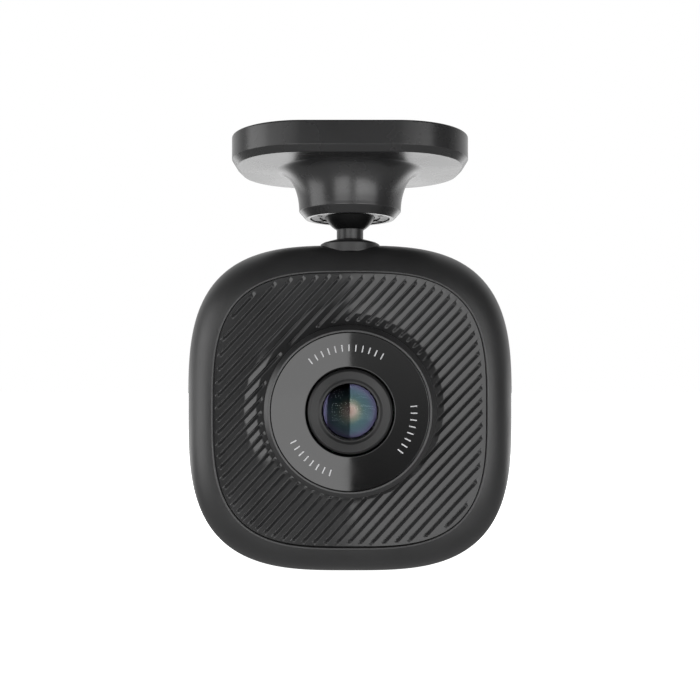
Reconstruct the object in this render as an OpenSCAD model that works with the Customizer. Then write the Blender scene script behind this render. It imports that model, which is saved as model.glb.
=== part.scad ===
// Dash camera on a windscreen ball mount.
// Origin: centre of the adhesive pad's top face. +Z up, the lens looks along -Y, the stem axis is X = Y = 0.

/* [Camera body] */
// Width of the body
body_w = 59.6; // [56:0.2:64]
// Height of the body
body_h = 59.8; // [56:0.2:64]
// Squareness of the outline, 2 is an ellipse
body_power = 3.2; // [2.8:0.1:4]
// Distance from the stem axis back to the rear face
body_back = 16; // [15:0.5:17]
// Distance from the stem axis forward to the bezel lip
lip_front = 8; // [7.5:0.1:8.5]
// Wall thickness of both housings
wall = 1.8; // [1.6:0.1:2]
// Half width of the recess that holds the fascia
recess_half = 24.1; // [23.6:0.1:24.4]

/* [Lens] */
// Distance from the stem axis forward to the front of the lens trim ring
lens_front = 12.3; // [12:0.1:12.6]
// Outer radius of the lens trim ring
trim_r = 14.85; // [14.5:0.05:15.1]
// Outer radius of the gloss disc
disc_r = 13.6; // [13.4:0.05:13.8]
// Radius of the hole in the gloss disc
disc_hole_r = 7.65; // [7.5:0.05:7.8]
// Radius of the front glass
glass_r = 4.85; // [4.6:0.05:5]

/* [Mount] */
// Width of the mount plate
plate_w = 42.4; // [40:0.2:44]
// Depth of the mount plate
plate_d = 34.2; // [33:0.2:36]
// Corner radius of the mount plate
plate_corner = 13.3; // [12:0.1:14]
// Height of the plate's side wall
plate_wall = 4.06; // [3.7:0.02:4.4]
// Chamfer under the side wall
plate_chamfer = 1.05; // [0.8:0.05:1.2]
// Radius of the neck at its collar
neck_r = 9.4; // [9:0.05:9.5]
// Radius of the ball
ball_r = 5; // [4.9:0.05:5.05]
// Radius of the stem
stem_r = 2.45; // [2.4:0.05:2.5]

/* [Hidden] */
$fn = 64;

gap = 0.05;           // running and assembly clearance
eps = 0.1;            // overshoot of a cutting shape
ring_pts = 72;        // points round the body outline

// ---- heights of the mount, measured down from the pad's top face
pad_t = 1.1;
pad_proud = 0.5;
plate_top = -pad_proud;
wall_bottom = plate_top - plate_wall;
plate_under = wall_bottom - plate_chamfer;
flare_h = 7.45;
collar_top = plate_under - flare_h;
collar_bottom = collar_top - 1.35;
collar_tip_r = 8.2;
flare_reach = 4.18;
bore_r = 7.35;
bore_top = -5.05;
pad_inset = 3;
pad_fit = 0.2;

// ---- ball joint, all measured from the ball's centre
ball_z = -12.06;
liner_in = ball_r + gap;
liner_out = ball_r + 0.85;
liner_lip = 2.0;
cup_in = liner_out + 2 * gap;
cup_r = bore_r - gap;
cup_bottom = collar_bottom + 0.16;
cup_screw_x = 4.6;
cup_screw_r = 1.0;
cup_head_r = 2.1;
cup_head_t = 1.1;
cup_screw_end = bore_top - 2.4;
grip_r = 6.94;
grip_wire = 0.32;
grip_groove = 0.8;
grip_groove_r = 6.6;
grip_z = ball_z + 0.55;
petals = 6;
petal_slot = 0.8;
petal_slot_in = 3;
petal_slot_h = 4.1;

// ---- stem below the body's crown
body_z = -49.14;
body_top = body_z + body_h / 2;
seat_z = body_top - 1.55;
bracket_top = -22.0;
bracket_t = 1.0;
washer_t = 0.5;
clip_t = 0.5;
washer_r = 3.8;
clip_r = 3.7;
clip_mouth = 3;
clip_top = bracket_top - bracket_t - washer_t - 3 * gap;
stem_end = clip_top - clip_t - 0.9;
groove_r = 1.9;
collar_r = 5.45;
bracket_screw_x = 7.4;
bracket_boss_r = 1.7;
bracket_w = 19.6;
bracket_d = 6.8;
bracket_screw_r = 0.8;
bracket_head_r = 1.4;
bracket_head_t = 0.8;

// ---- body sections along Y
widest_y = 1;
part_y = 7;
seam = 0.2;
front_depth = 9.5;
front_power = 2.5;
lip_rim = 0.3;
rear_depth = body_back - widest_y + 0.5;
rear_power = 3;
rear_inset = 12.4;
shell_back = body_back - wall;
ledge_y = -6.3;

// ---- inside the body
board_y = 10;
board_t = 1.2;
board_back = board_y + board_t;
sensor_board_y = 4.5;
post_x = 16.5;
post_z = 16.5;
post_r = 2.6;
post_front = -4.8;
gusset_start = norm([post_x, post_z]) + 1.7;
gusset_reach = 32.2;
gusset_t = 1.6;
screw_r = 1.0;
button_r = 5;
speaker_z = 18.5;
led_z = -11.5;
mic_x = 12;
mic_z = -11.7;
board_screw_x = 19.2;
board_screw_zs = [-10.8, 8.5];
card_z = -2;
card_w = 11;
card_l = 15;
card_t = 1.0;
card_out = 28.3;
usb_z = 2;
usb_w = 8.0;
usb_t = 2.6;

// ======================= helper shapes =======================

// How far the outline has shrunk at depth y, from a superellipse section
function shrink(t, p, reach) = reach * (1 - pow(1 - pow(min(t, 1), p), 1 / p));
front_t = (widest_y + lip_front) / front_depth;
front_reach = (body_w / 2 - recess_half - lip_rim) / shrink(front_t, front_power, 1);
function inset_at(y) = y < widest_y
    ? shrink((widest_y - y) / front_depth, front_power, front_reach)
    : shrink((y - widest_y) / rear_depth, rear_power, rear_inset);

// One superellipse ring of the body at depth y, drawn in by d
function body_ring(y, d) = [
    for (i = [0 : ring_pts - 1])
        let (t = 360 * i / ring_pts,
             r = pow(pow(abs(cos(t)), body_power) + pow(abs(sin(t)), body_power), -1 / body_power))
        [(body_w / 2 - d) * r * cos(t), y, body_z + (body_h / 2 - d) * r * sin(t)]
];

// Two triangles between point i of ring a and of ring b
function band(a, b, i) =
    let (n = ring_pts, j = (i + 1) % n)
    [[a * n + i, a * n + j, b * n + j], [a * n + i, b * n + j, b * n + i]];

// A shell lofted through rings, each given as [y, inset]. The rings run from the end of the hollow round
// the rim to the end of the outside, and both ends are capped; a through shell closes on its first ring instead.
module body_shell(sections, through = false) {
    n = ring_pts;
    count = len(sections);
    polyhedron(
        points = [for (s = sections) each body_ring(s[0], s[1])],
        faces = concat(
            [for (k = [0 : count - 2], i = [0 : n - 1]) each band(k, k + 1, i)],
            through
                ? [for (i = [0 : n - 1]) each band(count - 1, 0, i)]
                : [[for (i = [n - 1 : -1 : 0]) i], [for (i = [0 : n - 1]) (count - 1) * n + i]]
        )
    );
}

// Flat superellipse outline, half width a, centred on the origin
module outline(a) {
    n = 96;
    k = body_h / body_w;
    polygon([
        for (i = [0 : n - 1])
            let (t = 360 * i / n,
                 r = pow(pow(abs(cos(t)), body_power) + pow(abs(sin(t)), body_power), -1 / body_power))
            [a * r * cos(t), a * k * r * sin(t)]
    ]);
}

// Children drawn in the XY plane stand up facing -Y on the lens axis
module facing(y) {
    translate([0, y, body_z]) rotate([90, 0, 0]) children();
}

// Round bar along Y from y0 to y1 at x and z from the lens axis
module bar(r, y0, y1, x = 0, z = 0) {
    translate([x, y1, body_z + z]) rotate([90, 0, 0]) cylinder(r = r, h = y1 - y0);
}

// Ring along Y
module tube(r_out, r_in, y0, y1) {
    difference() {
        bar(r_out, y0, y1);
        bar(r_in, y0 - eps, y1 + eps);
    }
}

// Box by its lowest and highest corner, z from the lens axis
module block(x0, x1, y0, y1, z0, z1) {
    translate([x0, y0, body_z + z0]) cube([x1 - x0, y1 - y0, z1 - z0]);
}

// Solid of revolution about the lens axis; points are [radius, distance forward of the stem axis]
module turned(points) {
    facing(0) rotate_extrude() polygon(points);
}

// Solid rectangle with round corners, from z0 to z1
module round_plate(w, d, corner, z0, z1) {
    translate([0, 0, z0]) linear_extrude(z1 - z0) round_rect(w, d, corner);
}

module round_rect(w, d, corner) {
    square([w - 2 * corner, d], center = true);
    square([w, d - 2 * corner], center = true);
    for (x = [-1, 1], y = [-1, 1])
        translate([x * (w / 2 - corner), y * (d / 2 - corner)]) circle(corner);
}

module at_corners(x, z) {
    for (sx = [-1, 1], sz = [-1, 1]) translate([sx * x, 0, sz * z]) children();
}

// ======================= mount =======================

// Elliptical flare from the neck's wall out to the plate's underside
flare_steps = 14;
flare = [
    for (i = [0 : flare_steps])
        let (u = sin(90 * i / flare_steps))
        [neck_r + flare_reach * (1 - sqrt(1 - u * u)), collar_top + flare_h * u]
];

// Round-cornered plate whose edges taper in by c from its top at z1 down to z0
module tapered_plate(w, d, corner, c, z0, z1) {
    for (x = [-1, 1], y = [-1, 1])
        translate([x * (w / 2 - corner), y * (d / 2 - corner), z0])
            cylinder(r1 = corner - c, r2 = corner, h = z1 - z0);
    tapered_bar(w, d - 2 * corner, c, z0, z1);
    rotate([0, 0, 90]) tapered_bar(d, w - 2 * corner, c, z0, z1);
}

module tapered_bar(w, l, c, z0, z1) {
    translate([0, l / 2, 0]) rotate([90, 0, 0]) linear_extrude(l)
        polygon([[-w / 2 + c, z0], [w / 2 - c, z0], [w / 2, z1], [-w / 2, z1]]);
}

module mount_plate() {
    color("#2b2b2c") difference() {
        union() {
            round_plate(plate_w, plate_d, plate_corner, wall_bottom, plate_top);
            tapered_plate(plate_w, plate_d, plate_corner, plate_chamfer, plate_under, wall_bottom);
            rotate_extrude() polygon(concat(
                [[0, collar_bottom], [collar_tip_r, collar_bottom]],
                flare,
                [[0, plate_under]]));
        }
        translate([0, 0, collar_bottom - eps]) cylinder(r = bore_r, h = bore_top - collar_bottom + eps);
        round_plate(plate_w - 2 * (pad_inset - pad_fit), plate_d - 2 * (pad_inset - pad_fit),
                    plate_corner - pad_inset + pad_fit, -pad_t, plate_top + eps);
        for (s = [-1, 1]) translate([s * cup_screw_x, 0, 0]) {
            translate([0, 0, bore_top - eps]) cylinder(r = cup_screw_r + gap, h = -bore_top);
            translate([0, 0, -pad_t - cup_head_t - eps])
                cylinder(r1 = cup_screw_r + gap, r2 = cup_head_r + 0.25, h = cup_head_t + eps + gap);
        }
    }
}

module adhesive_pad() {
    color("#1a1a1a")
        round_plate(plate_w - 2 * pad_inset, plate_d - 2 * pad_inset, plate_corner - pad_inset, -pad_t, 0);
}

module socket_cup() {
    color("#161617") difference() {
        translate([0, 0, cup_bottom]) cylinder(r = cup_r, h = bore_top - cup_bottom);
        translate([0, 0, ball_z]) sphere(r = cup_in);
        translate([0, 0, grip_z - grip_groove / 2]) difference() {
            cylinder(r = cup_r + eps, h = grip_groove);
            translate([0, 0, -eps]) cylinder(r = grip_groove_r, h = grip_groove + 2 * eps);
        }
        for (i = [0 : petals - 1]) rotate([0, 0, (i + 0.5) * 360 / petals])
            translate([petal_slot_in, -petal_slot / 2, cup_bottom - eps])
                cube([cup_r, petal_slot, petal_slot_h + eps]);
        for (s = [-1, 1]) translate([s * cup_screw_x, 0, cup_screw_end - 0.2])
            cylinder(r = cup_screw_r + gap / 2, h = 3);
    }
}

// Cross recess cut into a screw head: half length, width, floor height and cut height
module cross_slot(reach, w, z, h) {
    for (a = [0, 90]) rotate([0, 0, a]) translate([-reach, -w / 2, z]) cube([2 * reach, w, h]);
}

module cup_screws() {
    color("silver") for (s = [-1, 1]) translate([s * cup_screw_x, 0, 0]) difference() {
        union() {
            translate([0, 0, -pad_t - cup_head_t - eps]) cylinder(r1 = cup_screw_r, r2 = cup_head_r, h = cup_head_t);
            translate([0, 0, cup_screw_end]) cylinder(r = cup_screw_r, h = -pad_t - cup_head_t - cup_screw_end);
        }
        cross_slot(1.1, 0.5, -pad_t - 0.7, 1);
    }
}

module grip_ring() {
    color("#202020") translate([0, 0, grip_z]) rotate_extrude() translate([grip_r, 0]) circle(r = grip_wire, $fn = 24);
}

// ======================= ball joint =======================

module ball_liner() {
    color("#101011") translate([0, 0, ball_z]) difference() {
        sphere(r = liner_out);
        sphere(r = liner_in);
        translate([0, 0, -liner_lip - liner_out]) cube(2 * [liner_out + eps, liner_out + eps, liner_out], center = true);
    }
}

module ball_stud() {
    color("#232324") difference() {
        union() {
            translate([0, 0, ball_z]) sphere(r = ball_r);
            translate([0, 0, stem_end]) cylinder(r = stem_r, h = ball_z - stem_end);
        }
        translate([0, 0, clip_top - clip_t - gap]) difference() {
            cylinder(r = stem_r + eps, h = clip_t + 2 * gap);
            translate([0, 0, -eps]) cylinder(r = groove_r, h = clip_t + 3 * eps);
        }
    }
}

module stud_washer() {
    color("silver") translate([0, 0, clip_top + gap]) difference() {
        cylinder(r = washer_r, h = washer_t);
        translate([0, 0, -eps]) cylinder(r = stem_r + gap, h = washer_t + 2 * eps);
    }
}

module stud_clip() {
    color("silver") translate([0, 0, clip_top - clip_t]) difference() {
        cylinder(r = clip_r, h = clip_t);
        translate([0, 0, -eps]) cylinder(r = groove_r + gap, h = clip_t + 2 * eps);
        translate([-clip_mouth / 2, 0, -eps]) cube([clip_mouth, clip_r + eps, clip_t + 2 * eps]);
    }
}

// ======================= stem fittings on the body =======================

module stem_collar() {
    color("#2b2b2c") rotate_extrude() polygon([
        [stem_r + gap, seat_z], [collar_r, seat_z], [collar_r, body_top + 0.1],
        [collar_r - 0.55, body_top + 0.42], [stem_r + 0.5, body_top + 0.98], [stem_r + gap, body_top + 1.05],
    ]);
}

module stud_bracket() {
    color("silver") difference() {
        translate([-bracket_w / 2, -bracket_d / 2, bracket_top - bracket_t]) cube([bracket_w, bracket_d, bracket_t]);
        translate([0, 0, bracket_top - 2]) cylinder(r = stem_r + gap, h = 3);
        for (s = [-1, 1]) translate([s * bracket_screw_x, 0, bracket_top - 2])
            cylinder(r = bracket_screw_r + gap, h = 3);
    }
}

module bracket_screws() {
    color("silver") for (s = [-1, 1]) translate([s * bracket_screw_x, 0, 0]) difference() {
        union() {
            translate([0, 0, bracket_top - bracket_t - bracket_head_t]) cylinder(r = bracket_head_r, h = bracket_head_t);
            translate([0, 0, bracket_top - bracket_t - eps]) cylinder(r = bracket_screw_r, h = 2);
        }
        cross_slot(0.8, 0.4, bracket_top - bracket_t - 1, 0.6);
    }
}

// ======================= housings =======================

recess_inset = body_w / 2 - recess_half;
front_outside = [for (y = [-lip_front, -7.6, -7, -6.2, -5.2, -4, -2.6, -1, 1, 4, part_y]) [y, inset_at(y)]];
front_inside = [for (y = [part_y, 4, 1, -1, -3, -4.5, ledge_y]) [y, inset_at(y) + wall]];
front_recess = [for (y = [ledge_y, -lip_front]) [y, recess_inset]];
rear_inside = [for (y = [shell_back, 13.3, 12.5, 11, 9, part_y + seam]) [y, inset_at(min(y, 12.9)) + wall]];
rear_outside = [for (y = [part_y + seam, 9, 11, 12.5, 13.7, 14.6, 15.3, 15.75, body_back]) [y, inset_at(y)]];

module front_housing() {
    color("#303031") difference() {
        union() {
            body_shell(concat(front_outside, front_inside, front_recess), through = true);
            translate([0, 0, bracket_top]) cylinder(r = collar_r + 0.1, h = seat_z - bracket_top - 0.2);
            for (s = [-1, 1]) translate([s * bracket_screw_x, 0, bracket_top])
                cylinder(r = bracket_boss_r, h = seat_z - bracket_top + 0.2);
            at_corners(post_x, post_z) bar(post_r, post_front, part_y);
            for (a = [45 : 90 : 315]) translate([0, 0, body_z]) rotate([0, a, 0])
                translate([gusset_start, post_front, -gusset_t / 2])
                    cube([gusset_reach - gusset_start, part_y - post_front, gusset_t]);
        }
        translate([0, 0, seat_z]) cylinder(r = collar_r + gap, h = 4);
        translate([0, 0, bracket_top - 1]) cylinder(r = stem_r + 0.3, h = 6);
        for (s = [-1, 1]) translate([s * bracket_screw_x, 0, bracket_top - 1])
            cylinder(r = bracket_screw_r + gap / 2, h = 2.2);
        at_corners(post_x, post_z) bar(screw_r + gap / 2, 0, part_y + 1);
    }
}

module rear_housing() {
    color("#303031") difference() {
        union() {
            body_shell(concat(rear_inside, rear_outside));
            at_corners(post_x, post_z) bar(post_r, part_y + seam, shell_back + eps);
            for (s = [-1, 1], z = board_screw_zs) bar(2, board_back, shell_back + eps, s * board_screw_x, z);
        }
        for (s = [-1, 1], z = board_screw_zs) bar(0.87, board_back - 1, shell_back - 0.3, s * board_screw_x, z);
        at_corners(post_x, post_z) {
            bar(screw_r + 0.15, part_y - 1, body_back + 1);
            bar(2.0, 11.5, body_back + 1);
        }
        bar(button_r + 0.25, shell_back - 1, body_back + 1);
        for (i = [-2 : 2], j = [-1 : 1]) bar(0.6, shell_back - 1, body_back + 1, i * 2.4, speaker_z + j * 2.4);
        bar(1.0 + gap, shell_back - 1, body_back + 1, 0, led_z);
        bar(0.6, shell_back - 1, body_back + 1, mic_x, mic_z);
        block(20, 40, board_y - 1.45, board_y - 0.15, card_z - card_w / 2 - 0.2, card_z + card_w / 2 + 0.2);
        translate([30.6, board_y - 0.8, body_z + card_z]) sphere(r = 3.2);
        block(-40, -20, board_y - usb_t - 0.4, board_y + 0.1, usb_z - usb_w / 2 - 0.5, usb_z + usb_w / 2 + 0.5);
    }
}

// Front panel: a shallow cone that dips a little more steeply beside the lens
fascia_t = 1.4;
fascia_hole_r = trim_r + 0.25;
crease_r = 19.1;
cone_end_r = 30;
crease_forward = 6.26;
cone_slope = 0.15;
dip_slope = 0.22;
hole_forward = crease_forward - dip_slope * (crease_r - fascia_hole_r);
cone_end_forward = crease_forward + cone_slope * (cone_end_r - crease_r);
flange_over = 0.9;
fascia_clearance = 0.12;
module fascia() {
    color("#262627") intersection() {
        turned([
            [fascia_hole_r, hole_forward - fascia_t], [fascia_hole_r, hole_forward],
            [crease_r, crease_forward], [cone_end_r, cone_end_forward],
            [cone_end_r, cone_end_forward - 2 * fascia_t], [crease_r, crease_forward - fascia_t],
        ]);
        union() {
            facing(-5) linear_extrude(4) outline(recess_half - fascia_clearance);
            facing(-3) linear_extrude(-ledge_y - 3 - gap) outline(recess_half + flange_over);
        }
    }
}

// ======================= lens =======================

trim_flange_r = trim_r + 1.3;
trim_flange_front = 2.6;
trim_flange_back = 1.6;
disc_seat_r = disc_hole_r + 0.9;
disc_seat_front = lens_front - 1.2;
disc_sunk = 0.2;
disc_t = 0.95;
cell_r = 7.3;
cell_t = 2.2;
barrel_r = 6.5;
barrel_bore = 3.9;
small_lens_r = barrel_bore - gap;
module lens_gasket() {
    color("#151515") tube(trim_flange_r, trim_r + 2 * gap, gap + fascia_t - hole_forward, -trim_flange_front);
}

module lens_trim_ring() {
    color("#3a3a3b") turned([
        [disc_seat_r, trim_flange_front], [trim_flange_r, trim_flange_front], [trim_flange_r, trim_flange_back],
        [disc_seat_r, trim_flange_back],
    ]);
    color("#3a3a3b") turned([
        [trim_r, trim_flange_front - eps], [trim_r, lens_front - 0.75], [disc_r + 0.45, lens_front],
        [disc_r + gap, lens_front], [disc_r + gap, disc_seat_front], [disc_seat_r, disc_seat_front],
        [disc_seat_r, trim_flange_front - eps],
    ]);
}

module lens_face_disc() {
    color("#0c0c0d") tube(disc_r, disc_hole_r, disc_sunk - lens_front, disc_sunk + disc_t - lens_front);
}

module lens_front_ring() {
    color("#3b3b3c") turned([
        [glass_r + gap, lens_front - cell_t], [glass_r + gap, lens_front - 0.55], [glass_r + 0.5, lens_front - 0.35],
        [cell_r - 0.4, lens_front - 0.1], [cell_r, lens_front - 0.35], [cell_r, lens_front - cell_t],
    ]);
}

// Meniscus with a crowned front and a hollow back
glass_crown = lens_front - 0.15;
glass_back = lens_front - 2;
glass_hollow = lens_front - 1.8;
glass_front_ball = 11;
glass_back_ball = 6;
module front_lens() {
    color("#2a3550", 0.6) facing(0) difference() {
        intersection() {
            cylinder(r = glass_r, h = lens_front);
            translate([0, 0, glass_crown - glass_front_ball]) sphere(r = glass_front_ball);
        }
        translate([0, 0, -1]) cylinder(r = glass_r + 1, h = glass_back + 1);
        translate([0, 0, glass_hollow - glass_back_ball]) sphere(r = glass_back_ball);
    }
}

module lens_barrel() {
    color("#1c1c1d") turned([
        [barrel_bore, -0.6], [barrel_r, -0.6], [barrel_r, lens_front - cell_t - gap],
        [glass_r + 0.3, lens_front - cell_t - gap], [barrel_bore, lens_front - 2.6],
    ]);
}

module aperture_stop() {
    color("#0a0a0a") tube(small_lens_r, 1.6, -5.2, -4.9);
}

module biconvex(r, y_mid, bulge, edge) {
    ball = (r * r + bulge * bulge) / (2 * bulge);
    facing(y_mid) intersection() {
        cylinder(r = r, h = 2 * (bulge + edge), center = true, $fn = 128);
        translate([0, 0, edge / 2 + bulge - ball]) sphere(r = ball, $fn = 256);
        translate([0, 0, ball - edge / 2 - bulge]) sphere(r = ball, $fn = 256);
    }
}

module middle_lens() {
    color("#556070", 0.6) biconvex(small_lens_r, -7.4, 0.7, 0.6);
}

module rear_lens() {
    color("#556070", 0.6) biconvex(small_lens_r, -2.6, 0.8, 0.6);
}

module lens_holder() {
    color("#19191a") difference() {
        union() {
            bar(7.6, -2.4, 2);
            block(-8, 8, 1.4, sensor_board_y, -8, 8);
        }
        bar(barrel_r + gap, -3, 0.7);
        bar(4.5, 0, 3);
        block(-5.5, 5.5, 2.2, sensor_board_y + 1, -5.5, 5.5);
    }
}

module ir_filter() {
    color("#7a4050", 0.6) block(-4.6, 4.6, 2.25, 2.65, -4.6, 4.6);
}

module image_sensor() {
    color("#20303a") block(-4.2, 4.2, sensor_board_y - 1, sensor_board_y, -3.6, 3.6);
}

module sensor_board() {
    color("#1d5c37") difference() {
        block(-11, 11, sensor_board_y, sensor_board_y + 1, -10, 10);
        for (s = [-1, 1]) bar(0.8, sensor_board_y - 1, sensor_board_y + 2, s * 9.3, 0);
    }
}

module board_connector() {
    color("#d8d4c8") block(-7, 7, sensor_board_y + 1, board_y, -9, -6);
}

// ======================= electronics =======================

module main_board() {
    color("#1d5c37") difference() {
        block(-21.5, 21.5, board_y, board_back, -13.4, 11);
        for (s = [-1, 1], z = board_screw_zs) bar(0.9, board_y - 1, board_back + 1, s * board_screw_x, z);
    }
}

module board_screws() {
    color("silver") for (s = [-1, 1], z = board_screw_zs) difference() {
        union() {
            bar(1.5, board_y - 0.8, board_y, s * board_screw_x, z);
            bar(0.85, board_y - 0.1, shell_back - 0.5, s * board_screw_x, z);
        }
        block(s * board_screw_x - 0.9, s * board_screw_x + 0.9, board_y - 1, board_y - 0.4, z - 0.2, z + 0.2);
    }
}

module processor() {
    color("#1b1b1c") block(-17, -6.5, board_back, board_back + 1, -5.5, 5);
}

module thermal_pad() {
    color("#8d9aa8") block(-16, -7.5, board_back + 1, board_back + 1.5, -4.5, 4);
}

module heat_spreader() {
    color("silver") block(-18, -6.6, board_back + 1.5, board_back + 2.1, -7, 5.9);
}

module memory_chips() {
    color("#1b1b1c") {
        block(7, 15, board_back, board_back + 0.9, -3, 8);
        block(7, 13, board_back, board_back + 0.8, -10, -5);
    }
}

module motion_sensor() {
    color("#242425") block(-12, -9, board_back, board_back + 0.9, -11.5, -8.5);
}

module power_inductor() {
    color("#3a3a3a") block(-15, -10, board_y - 3, board_y, -13, -8);
}

module wifi_antenna() {
    color("#e8e4da") block(7, 16, board_y - 1.2, board_y, 7, 10);
}

module supercapacitors() {
    color("#2c3c6a") for (s = [-1, 1]) translate([s * 6.6, 1.5, body_z - 21.5])
        rotate([0, 90, 0]) cylinder(r = 4, h = 12, center = true);
}

module card_socket() {
    color("silver") difference() {
        block(12.2, 21, board_y - 1.7, board_y, card_z - card_w / 2 - 0.8, card_z + card_w / 2 + 0.8);
        block(13, 22, board_y - 1.4, board_y - 0.2, card_z - card_w / 2 - 0.15, card_z + card_w / 2 + 0.15);
    }
}

module memory_card() {
    color("#151516") difference() {
        block(card_out - card_l, card_out, board_y - 0.3 - card_t, board_y - 0.3, card_z - card_w / 2, card_z + card_w / 2);
        block(card_out - card_l - 1, card_out - card_l + 7, board_y - 2, board_y, card_z + card_w / 2 - 1.3, card_z + 10);
    }
}

module usb_socket() {
    color("silver") difference() {
        block(-28, -21.2, board_y - usb_t, board_y, usb_z - usb_w / 2, usb_z + usb_w / 2);
        block(-29, -22, board_y - usb_t + 0.3, board_y - 0.3, usb_z - usb_w / 2 + 0.3, usb_z + usb_w / 2 - 0.3);
    }
    color("#1a1a1a") block(-27, -21.9, board_y - 1.7, board_y - 1, usb_z - 2.6, usb_z + 2.6);
}

module speaker() {
    color("#262626") translate([0, 0, speaker_z]) difference() {
        bar(7, 10.6, shell_back - gap);
        bar(6, shell_back - 0.7, shell_back + 1);
    }
    color("#707070") bar(5.6, 12.6, shell_back - 0.6, 0, speaker_z);
}

module microphone() {
    color("#c9b37a") block(mic_x - 1.7, mic_x + 1.7, board_back, board_back + 1, mic_z - 1.3, mic_z + 1.3);
}

module status_led() {
    color("#e8e4c0") block(-0.9, 0.9, board_back, board_back + 0.7, led_z - 0.7, led_z + 0.7);
}

module light_pipe() {
    color("#e6f0ff", 0.6) union() {
        bar(1.0, board_back + 0.9, body_back - 0.05, 0, led_z);
        bar(1.6, shell_back - 1.0, shell_back - gap, 0, led_z);
    }
}

module button_switch() {
    color("#909090") {
        block(-2.4, 2.4, board_back, board_back + 1.0, -2.4, 2.4);
        bar(1.0, board_back + 1.0, board_back + 1.2);
    }
}

module power_button() {
    color("#3a3a3b") difference() {
        union() {
            bar(button_r, 13.4, body_back + 0.3);
            bar(button_r + 1, 13.0, shell_back - 0.15);
        }
        translate([0, body_back + 12, body_z]) sphere(r = 12.1);
    }
}

module housing_screws() {
    color("silver") for (sx = [-1, 1], sz = [-1, 1]) difference() {
        union() {
            bar(1.8, 11.5, 12.8, sx * post_x, sz * post_z);
            bar(screw_r, 1.0, 11.6, sx * post_x, sz * post_z);
        }
        for (a = [0, 90]) translate([sx * post_x, 12.3, body_z + sz * post_z]) rotate([0, a, 0])
            translate([-1, 0, -0.2]) cube([2, 1, 0.4]);
    }
}

// ======================= assembly =======================

mount_plate();
adhesive_pad();
socket_cup();
cup_screws();
grip_ring();
ball_liner();
ball_stud();
stud_washer();
stud_clip();
stem_collar();
stud_bracket();
bracket_screws();
front_housing();
rear_housing();
fascia();
lens_gasket();
lens_trim_ring();
lens_face_disc();
lens_front_ring();
front_lens();
lens_barrel();
aperture_stop();
middle_lens();
rear_lens();
lens_holder();
ir_filter();
image_sensor();
sensor_board();
board_connector();
main_board();
processor();
thermal_pad();
heat_spreader();
memory_chips();
motion_sensor();
power_inductor();
wifi_antenna();
supercapacitors();
card_socket();
memory_card();
usb_socket();
speaker();
microphone();
status_led();
light_pipe();
power_button();
button_switch();
housing_screws();
board_screws();
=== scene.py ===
import math

import bmesh
import bpy
import numpy as np
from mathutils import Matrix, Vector


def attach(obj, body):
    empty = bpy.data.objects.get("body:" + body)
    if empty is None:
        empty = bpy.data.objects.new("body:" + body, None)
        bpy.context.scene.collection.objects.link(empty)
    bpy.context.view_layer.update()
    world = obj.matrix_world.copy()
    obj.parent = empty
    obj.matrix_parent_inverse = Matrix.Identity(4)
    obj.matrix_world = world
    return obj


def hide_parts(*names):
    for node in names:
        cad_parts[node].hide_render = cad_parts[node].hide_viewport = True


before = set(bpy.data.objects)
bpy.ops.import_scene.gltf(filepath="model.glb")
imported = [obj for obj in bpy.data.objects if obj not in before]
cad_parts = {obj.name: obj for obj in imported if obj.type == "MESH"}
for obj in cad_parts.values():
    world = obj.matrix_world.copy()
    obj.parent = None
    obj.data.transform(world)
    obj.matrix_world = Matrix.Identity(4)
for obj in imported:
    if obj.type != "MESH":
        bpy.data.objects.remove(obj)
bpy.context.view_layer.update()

MM = 0.001

# ---- sizes shared with the CAD, in millimetres in the row frame
AXIS_Z = -49.14                   # height of the lens axis
BODY_W, BODY_H, BODY_POWER = 59.6, 59.8, 3.2
WIDEST_Y, PART_Y, BACK_Y, LIP_Y, LEDGE_Y = 1.0, 7.0, 16.0, -8.0, -6.3
SEAM, SEAM_BREAK, WALL = 0.2, 0.16, 1.8
RECESS_HALF = 24.1
BODY_TOP = AXIS_Z + BODY_H / 2
BALL_Z, BALL_R, STEM_R = -12.06, 5.0, 2.45
LENS_FRONT = 12.3                 # how far the trim ring stands in front of the stem axis
TRIM_R, DISC_R, DISC_HOLE_R, GLASS_R = 14.85, 13.6, 7.65, 4.85
DISH_R = 4.6                      # coated inner element
FIT = 0.05                        # assembly clearance
RING_POINTS = 240

ANGLES = np.arange(RING_POINTS) * 2 * math.pi / RING_POINTS
COS, SIN = np.cos(ANGLES), np.sin(ANGLES)


# ============================ mesh helpers ============================

def make_object(name, verts, faces, sharp=30):
    """A closed mesh object from points in millimetres, smooth except across sharp edges."""
    mesh = bpy.data.meshes.new(name)
    mesh.from_pydata((np.asarray(verts, float) * MM).tolist(), [], faces)
    tidy_mesh(mesh, sharp)
    obj = bpy.data.objects.new(name, mesh)
    bpy.context.scene.collection.objects.link(obj)
    return obj


def tidy_mesh(mesh, sharp=30):
    bm = bmesh.new()
    bm.from_mesh(mesh)
    bmesh.ops.recalc_face_normals(bm, faces=bm.faces)
    bm.to_mesh(mesh)
    bm.free()
    mesh.shade_smooth()
    mesh.set_sharp_from_angle(angle=math.radians(sharp))


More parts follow.
